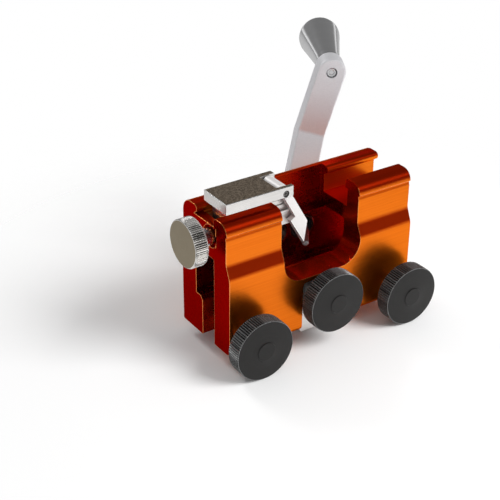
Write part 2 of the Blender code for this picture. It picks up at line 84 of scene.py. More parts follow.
def applyPlace(piece, location=(0, 0, 0), turn=None):
    # location in mm, turn as a rotation matrix; the place ends up in the mesh
    turn = turn or Matrix.Identity(4)
    pick(piece)
    piece.matrix_world = Matrix.Translation(Vector(location) * mm) @ turn @ piece.matrix_world
    bpy.ops.object.transform_apply(location=True, rotation=True, scale=True)
    return piece


def arc(centre, radius, start, end, steps=10):
    points = []
    for step in range(steps + 1):
        angle = math.radians(start + (end - start) * step / steps)
        points.append((centre[0] + radius * math.cos(angle), centre[1] + radius * math.sin(angle)))
    return points


def bend(before, corner, after, reach, steps=4):
    # a corner of an outline drawn as a short curve
    start, middle, end = Vector(before), Vector(corner), Vector(after)
    start = middle + (start - middle).normalized() * reach
    end = middle + (end - middle).normalized() * reach
    points = []
    for step in range(steps + 1):
        share = step / steps
        points.append(tuple(start.lerp(middle, share).lerp(middle.lerp(end, share), share)))
    return points


def weldPoints():
    bpy.ops.mesh.select_all(action="SELECT")
    bpy.ops.mesh.remove_doubles(threshold=weldReach)
    endEdit()


def newShape(name, maker, **settings):
    deselectAll()
    maker(**settings)
    piece = bpy.context.object
    piece.name = name
    return piece


def drawShape(name, points, low, high):
    # a filled outline in local XY, pulled up along Z with extrude
    piece = newShape(name, bpy.ops.mesh.primitive_circle_add, vertices=len(points), radius=mm,
                     fill_type="NGON")
    for vertex, (u, v) in zip(piece.data.vertices, points):
        vertex.co = (u * mm, v * mm, low * mm)
    startEdit()
    bpy.ops.mesh.extrude_region_move(TRANSFORM_OT_translate={"value": (0, 0, (high - low) * mm)})
    weldPoints()
    return piece


def turnShape(name, outline, steps, hollow=False):
    # an outline of radius and height in mm, pulled ring by ring along local Z
    radius, height = outline[0]
    piece = newShape(name, bpy.ops.mesh.primitive_circle_add, vertices=steps, radius=radius * mm,
                     fill_type="NOTHING" if hollow else "NGON", location=(0, 0, height * mm))
    bpy.ops.object.transform_apply(location=True)
    startEdit()
    for newRadius, newHeight in outline[1:] + (outline[:1] if hollow else []):
        rise = {"value": (0, 0, (newHeight - height) * mm)}
        if hollow:
            bpy.ops.mesh.extrude_edges_move(TRANSFORM_OT_translate=rise)
        else:
            bpy.ops.mesh.extrude_region_move(TRANSFORM_OT_translate=rise)
        share = newRadius / radius
        bpy.ops.transform.resize(value=(share, share, 1), center_override=(0, 0, newHeight * mm))
        radius, height = newRadius, newHeight
    weldPoints()
    return piece


def boxShape(name, low, high):
    middle = [(a + b) / 2 * mm for a, b in zip(low, high)]
    piece = newShape(name, bpy.ops.mesh.primitive_cube_add, size=1, location=middle)
    piece.scale = [(b - a) * mm for a, b in zip(low, high)]
    bpy.ops.object.transform_apply(location=True, scale=True)
    return piece


def combine(piece, other, operation="DIFFERENCE"):
    # the other shape is used up
    step = piece.modifiers.new("join", "BOOLEAN")
    step.operation = operation
    step.solver = "EXACT"
    step.object = other
    pick(piece)
    bpy.ops.object.modifier_apply(modifier=step.name)
    bpy.data.objects.remove(other, do_unlink=True)
    return piece


def joinPieces(piece, other):
    pick(piece)
    other.select_set(True)
    bpy.ops.object.join()
    return piece


def drill(piece, radius, start, end, location=(0, 0, 0), turn=None, steps=48):
    # a round hole along Z, which the turn lays into the jig's axes
    cutter = turnShape("drill", [(radius, start), (radius, end)], steps)
    combine(piece, applyPlace(cutter, location, turn))


def lift(outline, height):
    return [(radius, level + height) for radius, level in outline]


def roundTop(half, high, corner):
    # the round upper corners of an outline that is even to both sides
    points = arc((half - corner, high - corner), corner, 0, 90, 8)
    return points + arc((corner - half, high - corner), corner, 90, 180, 8)


def softenEdges(piece, width, segments=2, angle=32, edgeSlot=None):
    # the bevel's faces get a material slot of their own where edgeSlot is given
    step = piece.modifiers.new("softEdges", "BEVEL")
    if edgeSlot:
        for _ in range(edgeSlot + 1):
            piece.data.materials.append(None)
        step.material = edgeSlot
    step.width = width * mm
    step.segments = segments
    step.limit_method = "ANGLE"
    step.angle_limit = math.radians(angle)
    step.use_clamp_overlap = False
    step.miter_outer = "MITER_ARC"
    pick(piece)
    bpy.ops.object.modifier_apply(modifier=step.name)


def pullRibs(piece, ribs, rim, depth, low, high):
    # part of each wedge of the rim is pulled in, so that fine ribs stand between
    mesh = piece.data
    wedge = math.tau / ribs
    ribShare = 0.45  # of a wedge, that stays out
    for part in (mesh.vertices, mesh.edges, mesh.polygons):
        part.foreach_set("select", [False] * len(part))
    for vertex in mesh.vertices:
        x, y, z = vertex.co / mm
        angle = math.atan2(y, x) % wedge
        if low < z < high and math.hypot(x, y) > rim and angle > wedge * ribShare:
            vertex.select = True
    bpy.ops.object.mode_set(mode="EDIT")
    bpy.ops.mesh.select_mode(type="VERT")
    share = 1 - depth / (rim + depth)
    bpy.ops.transform.resize(value=(share, share, 1), center_override=(0, 0, 0))
    endEdit()


def knurledKnob(name, k):
    # a round knob with its back at zero and its face below, ribbed on the rim
    radius, thick, depth = k["radius"], k["thickness"], k["ribDepth"]
    outline = [(radius - inset, height) for inset, height in k["backRim"]]
    outline += [(radius - inset, height - thick) for inset, height in k["frontRim"]]
    outline += [(k["button"] + reach, height - thick) for reach, height in k.get("dome", [])]
    knob = turnShape(name, outline, ribEdges * k["ribs"])
    front, back = k["ribEnds"]
    pullRibs(knob, k["ribs"], radius - depth, depth, front - thick, back)
    return knob


# the thread's form, as shares of its pitch and of its depth
thread = {"depth": 0.6, "chamfer": 0.5, "root": 1.15, "crest": (0.42, 0.58), "height": 0.92}


def threadedRod(name, radius, pitch, low, high, steps=28):
    # a plain core with a helical ridge round it
    depth = thread["depth"] * pitch
    chamfer = thread["chamfer"] * depth
    plain = radius - depth
    outline = [(plain - chamfer, low), (plain, low + chamfer)]
    outline += [(plain, high - chamfer), (plain - chamfer, high)]
    core = turnShape(name, outline, steps)
    ridge = newShape("ridge", bpy.ops.mesh.primitive_circle_add, vertices=4, radius=mm,
                     fill_type="NOTHING")
    inner = radius - thread["root"] * depth
    crestLow, crestHigh = thread["crest"]
    corners = [(inner, 0), (radius, crestLow), (radius, crestHigh), (inner, 1)]
    for vertex, (reach, share) in zip(ridge.data.vertices, corners):
        vertex.co = (reach * mm, 0, (low + share * pitch * thread["height"]) * mm)
    winding = ridge.modifiers.new("winding", "SCREW")
    winding.axis = "Z"
    winding.angle = math.tau
    winding.steps = winding.render_steps = steps
    winding.screw_offset = pitch * mm
    winding.iterations = int((high - low) / pitch) - 1
    winding.use_smooth_shade = False
    pick(ridge)
    bpy.ops.object.modifier_apply(modifier=winding.name)
    startEdit()
    bpy.ops.mesh.fill_holes(sides=4)
    endEdit()
    return joinPieces(core, ridge)


def innerCorners(mesh, edgeSlot):
    # the bevel faces that lie in inner corners, where no painted edge highlight goes
    turnedIn = 0.05
    sides = {}
    for face in mesh.polygons:
        corners = list(face.vertices)
        for start, end in zip(corners, corners[1:] + corners[:1]):
            run = (mesh.vertices[end].co - mesh.vertices[start].co).normalized()
            sides.setdefault(frozenset((start, end)), []).append((face, face.normal.cross(run)))
    inner = set()
    for pair in sides.values():
        if len(pair) != 2:
            continue
        for (face, into), (other, _) in (pair, pair[::-1]):
            bevelled = face.material_index == edgeSlot != other.material_index
            if bevelled and into.dot(other.normal) > turnedIn:
                inner.add(face.index)
    return inner


def finishPiece(piece, materials, body, node, choose=None, smooth=32):
    # shading, materials, and what the piece rides on and stands for
    pick(piece)
    bpy.ops.object.shade_smooth_by_angle(angle=math.radians(smooth))
    flatten = piece.modifiers.new("flatFaces", "WEIGHTED_NORMAL")  # keeps the large faces flat
    flatten.keep_sharp = True
    bpy.ops.object.modifier_apply(modifier=flatten.name)
    edgeSlot = len(materials) - 1
    inner = innerCorners(piece.data, edgeSlot) if edgeSlot > 1 else ()
    slots = [-1 if face.index in inner else face.material_index for face in piece.data.polygons]
    piece.data.materials.clear()
    for material in materials:
        piece.data.materials.append(material)
    for face, slotIndex in zip(piece.data.polygons, slots):
        # bevel faces get the painted edge highlight
        highlighted = slotIndex == edgeSlot > 1
        if choose:
            face.material_index = choose(face.center / mm, face.normal, highlighted)
        else:
            face.material_index = edgeSlot if highlighted else 0
    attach(piece, body)
    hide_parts(node)


def turned(*degrees):
    return Euler([math.radians(angle) for angle in degrees]).to_matrix().to_4x4()


# turns that carry a drawn or turned shape into the jig's axes
alongX = turned(0, 90, 0)
alongY = turned(-90, 0, 0)
profileToX = turned(90, 0, 90)
frontView = turned(90, 0, 0)

# what several pieces share, in mm
shared = {
    "sideClamp": (36, -1.2),  # x to both sides and z of the outer clamp screws
    "middleClamp": 6.3,  # z of the middle one
    "clampBore": 3.3,
    "leadAxis": (-5.9, 38.7),  # y and z of the lead screw
    "leadBore": 2.2,
    "pinGap": 0.3,
}


# shader nodes, and the node groups that several finishes share

def feed(tree, node, inputs):
    # inputs by name or number, each a plain value or the output of another node
    for label, value in dict(inputs).items():
        if hasattr(value, "is_output"):
            tree.links.new(value, node.inputs[label])
        else:
            node.inputs[label].default_value = value


def addNode(tree, kind, inputs=(), **options):
    node = tree.nodes.new("ShaderNode" + kind)
    for option, choice in options.items():
        setattr(node, option, choice)
    feed(tree, node, inputs)
    return node


def mathNode(tree, operation, *values):
    return addNode(tree, "Math", enumerate(values), operation=operation).outputs[0]


def weighted(tree, first, firstShare, second, secondShare):
    return mathNode(tree, "ADD", mathNode(tree, "MULTIPLY", first, firstShare),
                    mathNode(tree, "MULTIPLY", second, secondShare))


def noiseNode(tree, vector, scale, detail, roughness=0.55):
    inputs = {"Vector": vector, "Scale": scale, "Detail": detail, "Roughness": roughness}
    return addNode(tree, "TexNoise", inputs).outputs["Fac"]


def rangeNode(tree, value, fromMin, fromMax, toMin=0, toMax=1, kind="LINEAR"):
    inputs = {"Value": value, "From Min": fromMin, "From Max": fromMax, "To Min": toMin, "To Max": toMax}
    return addNode(tree, "MapRange", inputs, interpolation_type=kind).outputs["Result"]


def mixColours(tree, factor, *sides):
    first, second = [side if hasattr(side, "is_output") else (*side, 1) for side in sides]
    inputs = {"Factor": factor, "A": first, "B": second}
    return addNode(tree, "Mix", inputs, data_type="RGBA").outputs["Result"]


def mixShaders(tree, factor, first, second):
    return addNode(tree, "MixShader", enumerate((factor, first, second))).outputs[0]


def newGroup(name, makeMarks, blotchScale, blotchDetail, settings):
    # every group takes coordinates and its own settings, and gives fine marks and broad blotches
    group = bpy.data.node_groups.new(name, "ShaderNodeTree")
    group.interface.new_socket(name="Vector", in_out="INPUT", socket_type="NodeSocketVector")
    for label, value in settings.items():
        socket = group.interface.new_socket(name=label, in_out="INPUT", socket_type="NodeSocketFloat")
        socket.default_value = value
    for label in ("Marks", "Blotches"):
        group.interface.new_socket(name=label, in_out="OUTPUT", socket_type="NodeSocketFloat")
    given = group.nodes.new("NodeGroupInput").outputs
    place = given["Vector"]
    marks = makeMarks(group, place, *[given[label] for label in settings])
    blotches = noiseNode(group, place, blotchScale, blotchDetail)
    feed(group, group.nodes.new("NodeGroupOutput"), {"Marks": marks, "Blotches": blotches})
    return group


def streakMarks(group, place, along, across):
    # long brush marks along X, coarse and fine
    stretch = addNode(group, "CombineXYZ", enumerate((along, across, across))).outputs[0]
    drawn = addNode(group, "VectorMath", {0: place, 1: stretch}, operation="MULTIPLY").outputs[0]
    coarse = noiseNode(group, drawn, scale=1, detail=2)
    fine = noiseNode(group, drawn, scale=3.1, detail=3, roughness=0.6)
    return weighted(group, fine, 0.6, coarse, 0.4)


def ringMarks(group, place, fineness):
    # the fine concentric marks that a lathe leaves, round local Z
    x, y, z = addNode(group, "SeparateXYZ", {0: place}).outputs
    squares = weighted(group, x, x, y, y)
    scaled = enumerate((mathNode(group, "SQRT", squares), z))
    drawn = addNode(group, "CombineXYZ", scaled).outputs[0]
    return noiseNode(group, drawn, scale=fineness, detail=2, roughness=0.6)


def speckleMarks(group, place, density):
    # the tight, even pits of bead blasting or of a moulded skin
    pits = addNode(group, "TexVoronoi", {"Vector": place, "Scale": density})
    grain = noiseNode(group, place, density, detail=3, roughness=0.5)
    return weighted(group, pits.outputs["Distance"], 0.5, grain, 0.6)


# a finish names its grain by the settings that it gives
grainGroups = {
    "Along": newGroup("brushStreaks", streakMarks, 70, 2, {"Along": 30, "Across": 1500}),
    "Fineness": newGroup("latheRings", ringMarks, 260, 2, {"Fineness": 7000}),
    "Density": newGroup("fineSpeckle", speckleMarks, 190, 3, {"Density": 4000}),
}
grainSpan = (0.3, 0.7)  # the part of a grain's values that a finish spreads out
leanSpan = (0.12, 0.42)  # how far a face leans up while the painted shade comes in


def newMaterial(name):
    material = bpy.data.materials.new(name)
    material.use_nodes = True
    return material, material.node_tree, material.node_tree.nodes["Principled BSDF"]


def makeFinish(name, colours, roughness, metallic, grain, bump=0.1, bumpDepth=0.02,
               centre=(0, 0, 0), turn=(0, 0, 0), specular=0.5, paintedTopShade=None, rim=(1, 1, 1)):
    # one finish: two colours and two roughnesses mixed by a grain pattern, with a slight relief
    material, tree, shader = newMaterial(name)
    place = addNode(tree, "TexCoord").outputs
    inputs = {"Vector": place["Object"], "Location": Vector(centre) * mm, "Rotation": turn}
    mapping = addNode(tree, "Mapping", inputs, vector_type="TEXTURE")
    inputs = {"Vector": mapping.outputs[0], **grain}
    pattern = addNode(tree, "Group", inputs, node_tree=grainGroups[next(iter(grain))]).outputs
    tone = mixColours(tree, rangeNode(tree, pattern["Marks"], *grainSpan), *colours)
    if paintedTopShade:  # painted shade: the colour turns a deeper red where the faces lean up
        lean = addNode(tree, "SeparateXYZ", {0: place["Normal"]}).outputs[2]
        tone = mixColours(tree, rangeNode(tree, lean, *leanSpan), tone, paintedTopShade)
    wear = weighted(tree, pattern["Marks"], 0.5, pattern["Blotches"], 0.5)
    inputs = {"Strength": bump, "Distance": bumpDepth * mm, "Height": pattern["Marks"]}
    relief = addNode(tree, "Bump", inputs)
    feed(tree, shader, {
        "Base Color": tone,
        "Roughness": rangeNode(tree, wear, *grainSpan, *roughness),
        "Metallic": metallic,
        "Specular IOR Level": specular,
        "Specular Tint": (*rim, 1),
        "Normal": relief.outputs["Normal"],
    })
    return material


# brushed orange faces, with a deeper red painted on as shade where they lean up
orangeFace = makeFinish("orangeAnodisedBrushed", ((0.81, 0.155, 0.01), (0.92, 0.21, 0.015)),
                        (0.27, 0.3), 0.98, {"Along": 14, "Across": 1700}, bump=0.01,
                        paintedTopShade=(0.6, 0.026, 0.002), rim=(1, 0.5, 0.2))
# milled inner faces: the milled grain, in a redder orange that is painted shade
orangeCutShade = makeFinish("orangeAnodisedMilledPaintedShade", ((0.78, 0.03, 0.002), (0.88, 0.046, 0.003)),
                       (0.18, 0.3), 0.95, {"Along": 300, "Across": 900}, bump=0.04, rim=(1, 0.3, 0.15))
# sawn ends and the tunnel's inside, painted dark red as shade
orangeEndShade = makeFinish("orangeAnodisedSawnPaintedShade", ((0.27, 0.011, 0.001), (0.34, 0.017, 0.0015)),
                       (0.2, 0.34), 1, {"Along": 300, "Across": 900}, bump=0.06, rim=(0.8, 0.15, 0.06))
# bevel faces of the orange body: a brighter orange painted on as edge highlight
orangeEdgeHighlight = makeFinish("orangeAnodisedPaintedEdgeHighlight", ((0.95, 0.27, 0.06), (1.0, 0.36, 0.1)),
                        (0.2, 0.3), 1, {"Density": 1500}, bump=0.05)
satinAluminium = makeFinish("satinAluminium", ((0.72, 0.7, 0.68), (0.86, 0.84, 0.82)),
                            (0.22, 0.4), 1, {"Along": 40, "Across": 2600}, bump=0.2)
# the carriage's blasted top, its dark brown painted on as shade
blastedAluminiumPaintedShade = makeFinish("blastedAluminiumPaintedShade", ((0.075, 0.055, 0.038), (0.5, 0.4, 0.3)),
                              (0.4, 0.6), 1, {"Density": 1700}, bump=0.7, bumpDepth=0.08)
# bevel faces of the silver parts: a lighter silver painted on as edge highlight
paleEdgeHighlight = makeFinish("paintedEdgeHighlight", ((0.85, 0.84, 0.82), (0.92, 0.91, 0.89)), (0.2, 0.3), 1,
                      {"Density": 2600}, bump=0.05)
castAluminium = makeFinish("satinPaleAluminium", ((0.78, 0.775, 0.8), (0.86, 0.855, 0.88)),
                           (0.46, 0.6), 0.65, {"Density": 2500}, bump=0.15)
paleAluminium = makeFinish("paleBrushedAluminium", ((0.74, 0.72, 0.71), (0.82, 0.8, 0.79)),
                           (0.4, 0.5), 0.35, {"Along": 40, "Across": 2600})
brightSteel = makeFinish("brightSteel", ((0.55, 0.55, 0.56), (0.72, 0.72, 0.73)), (0.12, 0.26), 1,
                         {"Density": 2600}, bump=0.05)
darkSteel = makeFinish("blackOxideSteel", ((0.05, 0.046, 0.043), (0.11, 0.1, 0.095)), (0.25, 0.42), 1,
                       {"Density": 2200})
pinSteel = makeFinish("wornBlackSteel", ((0.16, 0.15, 0.14), (0.3, 0.29, 0.28)), (0.3, 0.45), 1,
                      {"Density": 2200})
carbide = makeFinish("groundCarbide", ((0.3, 0.3, 0.31), (0.48, 0.48, 0.49)), (0.2, 0.36), 1,
                     {"Density": 5200}, bump=0.3)
nylon = makeFinish("whiteNylon", ((0.74, 0.73, 0.69), (0.82, 0.81, 0.77)), (0.4, 0.55), 0,
                   {"Density": 1800})
# rib tips of the black knobs, painted lighter than the knob: partly wear, partly painted highlight
ribTipWearAndHighlight = makeFinish("knurledBlackWearAndHighlight", ((0.07, 0.07, 0.07), (0.2, 0.2, 0.2)), (0.2, 0.34), 0.3,
                      {"Density": 3000}, bump=0.2)
grooveBlack = makeFinish("knurlGrooveBlack", ((0.004, 0.004, 0.004), (0.01, 0.01, 0.01)), (0.4, 0.55), 0,
                         {"Density": 3000}, bump=0.2, specular=0.2)
print("finishes made")


# orange saddle body

saddle = {
    "ends": (-44, 44),
    "foot": -8.5,
    "top": 47.5,
    "wallInner": -8.5,
    "lowerFace": -19.5,
    "bandFace": -17.0,
    "bulgeFace": -17.5,
    "skinInner": -9.8,
    "tunnelBack": 4.5,
    "channelBack": 5.8,
    "backFace": 14.7,
    "backBand": 13.5,
    "shoulder": (25.3, 31.0),
    "shoulderBend": 1.1,
    "groove": (42.3, 0.35),  # height of its deepest line, and depth
    "grooveReach": (1.2, 0.8),  # below and above that line
    "grooveBends": (0.4, 0.3),
    "footRound": 2.5,
    "bulgeRound": 4.5,
    "frontLipRound": 1.5,
    "backLip": (0.8, 1.7),  # overhang and round
    "backRound": 5.6,
    "footEdge": 0.8,
    "slotFloor": 35.6,
    "lipUnder": 43.3,
    "tunnelRoof": 29.7,
    "landTop": 7.5,
    "landStep": 1.5,
    "endWall": (4, 0.4),  # thickness, and how far it sinks into the skins
    "window": (-18.8, 17.9, 15.4, 9),  # left, right, floor and corner radius
    "notch": (7.6, 0.3, 0.01),  # back, depth below the tunnel's roof, start before the wall
    "viseSlot": (9.65, 13.5, 2),  # half width, height and corner radius
    "frontCut": 14,
    "clampHole": 13,
    "countersink": (0.5, 0.9, 0.4),  # wider by, depth, start before the face
    "guides": (6.64, 23.3),
    "guideLean": 30,
    "bore": 5.3,
    "boreEnds": (-5, 17),
    "leadHole": 7,
    "collarRecess": (4.6, 2.2),
    "highlightEdge": 0.2,
}
# what tells the saddle's faces apart, places in mm
saddleZones = {
    "outside": (-16, 13),  # beyond these y
    "highlightX": 30,  # beyond this x every edge gets the painted highlight
    "backTop": (8, 42),  # y and z of the back wall's rounded top
    "brushedX": 18.9,
    "sawnSkin": 0.3,
    "tunnel": (-8, 9, 45),  # y and top of the inside, which is painted dark red as shade
    "lean": (0.2, 0.9),  # x of the normal: less is a face along the bar, more is an end
}


def saddleOutline():
    # the extrusion in Y and Z, from the front wall's foot round to the tunnel's roof
    s = saddle
    foot, top, inner = s["foot"], s["top"], s["wallInner"]
    front, band, bulge = s["lowerFace"], s["bandFace"], s["bulgeFace"]
    low, high = s["shoulder"]
    groove, grooveDepth = s["groove"]
    below, above = s["grooveReach"]
    lowerBend, upperBend = (front, low), (band, high)
    grooveEdge, grooveFoot = (band, groove - below), (band + grooveDepth, groove)
    edgeBend, footBend = s["grooveBends"]

    r = s["footRound"]
    outline = [(inner, foot)] + arc((front + r, foot + r), r, 270, 180)
    outline += bend((front, foot), lowerBend, upperBend, s["shoulderBend"])
    outline += bend(lowerBend, upperBend, (band, groove), s["shoulderBend"])
    outline += bend(upperBend, grooveEdge, grooveFoot, edgeBend)
    outline += bend(grooveEdge, grooveFoot, (bulge, groove + above), footBend)
    r = s["bulgeRound"]
    outline += arc((bulge + r, top - r), r, 180, 90, 14)
    r = s["frontLipRound"]
    outline += arc((inner - r, top - r), r, 90, 0, 6)
    outline += [(inner, s["lipUnder"]), (s["skinInner"], s["lipUnder"]), (s["skinInner"], s["slotFloor"])]
    outline += [(s["channelBack"], s["slotFloor"]), (s["channelBack"], s["lipUnder"])]
    overhang, r = s["backLip"]
    outline += arc((s["channelBack"] - overhang, top - r), r, 215, 90, 10)
    r = s["backRound"]
    outline += arc((s["backBand"] - r, top - r), r, 90, 0, 14)
    outline += [(s["backBand"], high), (s["backFace"], low)]
    r = s["footEdge"]
    outline += arc((s["backFace"] - r, foot + r), r, 0, -90, 5)
    outline += arc((r, foot + r), r, 270, 180, 5)
    step = s["landStep"]
    outline += [(0, s["landTop"]), (step, s["landTop"] + step), (s["tunnelBack"], s["landTop"] + step)]
    return outline + [(s["tunnelBack"], s["tunnelRoof"]), (inner, s["tunnelRoof"])]


def saddleFinish(centre, normal, highlighted):
    zones = saddleZones
    x = abs(centre.x)
    front, back = zones["outside"]
    outside = centre.y < front or centre.y > back
    # bevel faces outside the walls or near the ends get the painted edge highlight
    if highlighted and (outside or x > zones["highlightX"]):
        return 3
    topY, topZ = zones["backTop"]
    outside = outside or (centre.z > topZ and centre.y > topY)
    lengthwise, endwise = zones["lean"]
    lean = abs(normal.x)
    # lengthwise outer faces are brushed; the other faces are milled in painted shade, and the sawn ends
    # and the inside in a darker painted shade
    if lean < lengthwise and (outside or x > zones["brushedX"]):
        return 0
    sawn = lean > endwise and x > saddle["ends"][1] - zones["sawnSkin"]
    near, far, roof = zones["tunnel"]
    return 2 if sawn or (near < centre.y < far and centre.z < roof) else 1


def guidePlace(side):
    x, z = saddle["guides"]
    return (side * x, saddle["tunnelBack"], z)


def guideTurn(side):
    return turned(-90, 0, -side * saddle["guideLean"])


def cutFrontWall(body, outline):
    cutter = drawShape("frontCutter", outline, 0, saddle["frontCut"])
    combine(body, applyPlace(cutter, (0, saddle["wallInner"] + past, 0), frontView))


def makeSaddle():
    s = saddle
    foot, inner = s["foot"], s["wallInner"]
    left, right = s["ends"]
    body = applyPlace(drawShape("saddleBody", saddleOutline(), left, right), turn=profileToX)

    thick, sink = s["endWall"]
    endWall = boxShape("endWall", (left, s["skinInner"] - sink, s["slotFloor"] - sink),
                       (left + thick, s["channelBack"] + sink, s["lipUnder"] + sink))
    combine(body, endWall, "UNION")

    x0, x1, floor, radius = s["window"]
    above = s["top"] + 2 * past
    window = [(x0, above)] + arc((x0 + radius, floor + radius), radius, 180, 270, 18)
    window += arc((x1 - radius, floor + radius), radius, 270, 360, 18) + [(x1, above)]
    cutFrontWall(body, window)
    notchBack, below, before = s["notch"]
    combine(body, boxShape("notch", (x0, inner - before, s["tunnelRoof"] - below), (x1, notchBack, above)))

    half, height, corner = s["viseSlot"]
    slot = [(-half, foot - 2 * past), (half, foot - 2 * past)] + roundTop(half, height, corner)
    cutFrontWall(body, slot)

    sideX, z = shared["sideClamp"]
    bore = shared["clampBore"]
    wider, deep, before = s["countersink"]
    for x in (-sideX, sideX):
        drill(body, bore, 0, s["clampHole"], (x, s["lowerFace"] - past, z), alongY, steps=64)
        rim = turnShape("clampHoleRim", [(bore + wider, 0), (bore, deep)], 64)
        combine(body, applyPlace(rim, (x, s["lowerFace"] - before, z), alongY))
    for side in (1, -1):
        drill(body, s["bore"], *s["boreEnds"], guidePlace(side), guideTurn(side), steps=72)
    for radius, depth in ((shared["leadBore"], s["leadHole"]), s["collarRecess"]):
        drill(body, radius, 0, depth, (left - past, *shared["leadAxis"]), alongX, steps=64)
    softenEdges(body, s["highlightEdge"], angle=34, edgeSlot=3)
    finishPiece(body, [orangeFace, orangeCutShade, orangeEndShade, orangeEdgeHighlight], "saddle", "main_body",
                saddleFinish)


makeSaddle()
print("saddle body made")


# steel bushings in the two guide bores

bushing = {"outer": 5.0, "inner": 4.3, "edge": 0.12}


def makeBushing(side, word):
    s = saddle
    outer, inner = bushing["outer"], bushing["inner"]
    low, high = s["boreEnds"]
    outline = [(outer, low), (outer, high), (inner, high), (inner, low)]
    ring = turnShape(word + "Bushing", outline, 96, hollow=True)
    applyPlace(ring, guidePlace(side), guideTurn(side))
    left, right = s["ends"]
    slab = boxShape("wallSlab", (left, s["tunnelBack"], s["foot"]), (right, s["backFace"], s["top"]))
    combine(ring, slab, "INTERSECT")
    softenEdges(ring, bushing["edge"], angle=40)
    finishPiece(ring, [darkSteel], "saddle", "guide_bushing_" + word)


makeBushing(1, "right")
makeBushing(-1, "left")


# silver block in the slot of the front wall

vise = {"half": 9.35, "low": -10.5, "high": 13.2, "corner": 2, "chamfer": 0.8, "front": -17.5,
        "back": -8.8, "hole": 12, "edge": 0.3}


def makeVise():
    v = vise
    half, low, chamfer = v["half"], v["low"], v["chamfer"]
    outline = [(chamfer - half, low), (half - chamfer, low), (half, low + chamfer)]
    outline += roundTop(half, v["high"], v["corner"]) + [(-half, low + chamfer)]
    block = applyPlace(drawShape("viseBlock", outline, -v["back"], -v["front"]), turn=frontView)
    drill(block, shared["clampBore"], 0, v["hole"], (0, v["front"] - past, shared["middleClamp"]), alongY,
          steps=64)
    softenEdges(block, v["edge"], segments=3)
    finishPiece(block, [satinAluminium], "saddle", "vise_block")


makeVise()
print("bushings and vise block made")


# black knurled clamp knobs, their screws and pads

clampKnob = {
    "radius": 12.7,
    "thickness": 7.1,
    "ribs": 84,
    "ribDepth": 0.42,
    "ribEnds": (0.3, -0.55),
    "button": 4.0,
    # the outline's steps: how far in from the rim or out from the button, and the height
    "backRim": [(0.9, 0), (0.2, -0.5), (0, -0.8), (0, -2.6), (0, -4.6)],
    "frontRim": [(0, 0.45), (0.15, 0.2), (0.35, 0.05), (0.6, 0)],
    "dome": [(3.5, -0.25), (0.35, -0.36), (0, -0.42), (-0.15, -0.7), (-0.6, -0.78)],
    "bore": [(3.7, 0.2), (3.3, -0.5), (3.3, -4.2)],
    "faceInset": 0.55,
    "ribInset": 0.3,
}
clampScrew = {"radius": 3.0, "pitch": 1.0, "inKnob": 3.9, "end": -8.0,
              "tip": [(1.9, -8.6), (1.9, -6.45), (1.75, -6.3)]}
clampPad = {"outline": [(2.2, -7.7), (4.05, -7.7), (4.2, -7.5), (4.2, -5.8), (4.0, -5.4), (3.6, -5.2),
                        (2.2, -5.2)],
            "socket": (2.2, -9, -6.3)}
sideX, sideZ = shared["sideClamp"]
# x and z of each set's axis, and y of its knob's face
clampPlaces = {
    "left": (-sideX, sideZ, -32.3),
    "right": (sideX, sideZ, -32.3),
    "middle": (0, shared["middleClamp"], -29.7),
}


def makeClampKnob(side, body):
    x, z, face = clampPlaces[side]
    k = clampKnob
    knob = knurledKnob(side + "Knob", k)
    combine(knob, turnShape("knobBore", k["bore"], 64))
    applyPlace(knob, (x, face + k["thickness"], z), alongY)
    faceBlack = makeFinish(
        side + "KnobFace", ((0.006, 0.0055, 0.005), (0.011, 0.01, 0.0095)), (0.36, 0.46), 0,
        {"Fineness": 5200}, bump=0.35, bumpDepth=0.03, centre=(x, 0, z),
        turn=(math.radians(-90), 0, 0), specular=0.3,
    )

    # the rib tips get the lighter black that is partly wear and partly painted highlight
    def knobFinish(centre, normal, highlighted):
        reach = math.hypot(centre.x - x, centre.z - z)
        if reach < k["radius"] - k["faceInset"]:
            return 1
        return 0 if reach > k["radius"] - k["ribInset"] else 2

    finishPiece(knob, [ribTipWearAndHighlight, faceBlack, grooveBlack], body, side + "_clamp_knob",
                knobFinish, smooth=40)


def makeClamp(side):
    x, z, face = clampPlaces[side]
    body = side + "_clamp"
    makeClampKnob(side, body)

    c = clampScrew
    start = face + clampKnob["thickness"] - c["inKnob"]
    screw = threadedRod(side + "Screw", c["radius"], c["pitch"], start, c["end"])
    joinPieces(screw, turnShape("screwTip", c["tip"], 48))
    applyPlace(screw, (x, 0, z), alongY)
    finishPiece(screw, [brightSteel], body, side + "_clamp_screw")

    pad = turnShape(side + "Pad", clampPad["outline"], 72)
    drill(pad, *clampPad["socket"])
    applyPlace(pad, (x, 0, z), alongY)
    finishPiece(pad, [nylon], side + "_pad", side + "_clamp_pad")


for clampSide in clampPlaces:
    makeClamp(clampSide)
print("clamp sets made")


# stop carriage, pin and pawl

carriage = {
    "plateX": (-42.1, -11.8),
    "plateY": (-14.3, 1.2),
    "plateZ": (50.2, 54.7),
    "plateEdge": 0.32,
    "leg": (-38.6, -8.2),
    "legSink": 0.5,
    "legEdge": 0.2,
    "trim": (-12.6, 48.8),
    "foot": (-9.5, 5.5, 35.9, 42.1),  # front, back, bottom and top
    "neck": (-8.2, 0.9),
    "skirt": 47.8,
    "clevis": (-18.8, -12.7, -1.5, 48.8),  # left, front, back and bottom
    "pin": (-15.2, 51.9, 1.1),  # x, z and radius
    "pinHole": 17,
    "leadHole": 28,
    "grooves": ((44.5, 0.3), (46.6, 0.2)),  # height and half width
    "grooveStart": 14,
    "grooveDepth": 0.5,
    "top": (0.9, 0.2),  # z of the normal, and depth of the skin that is blasted and painted dark as shade
}


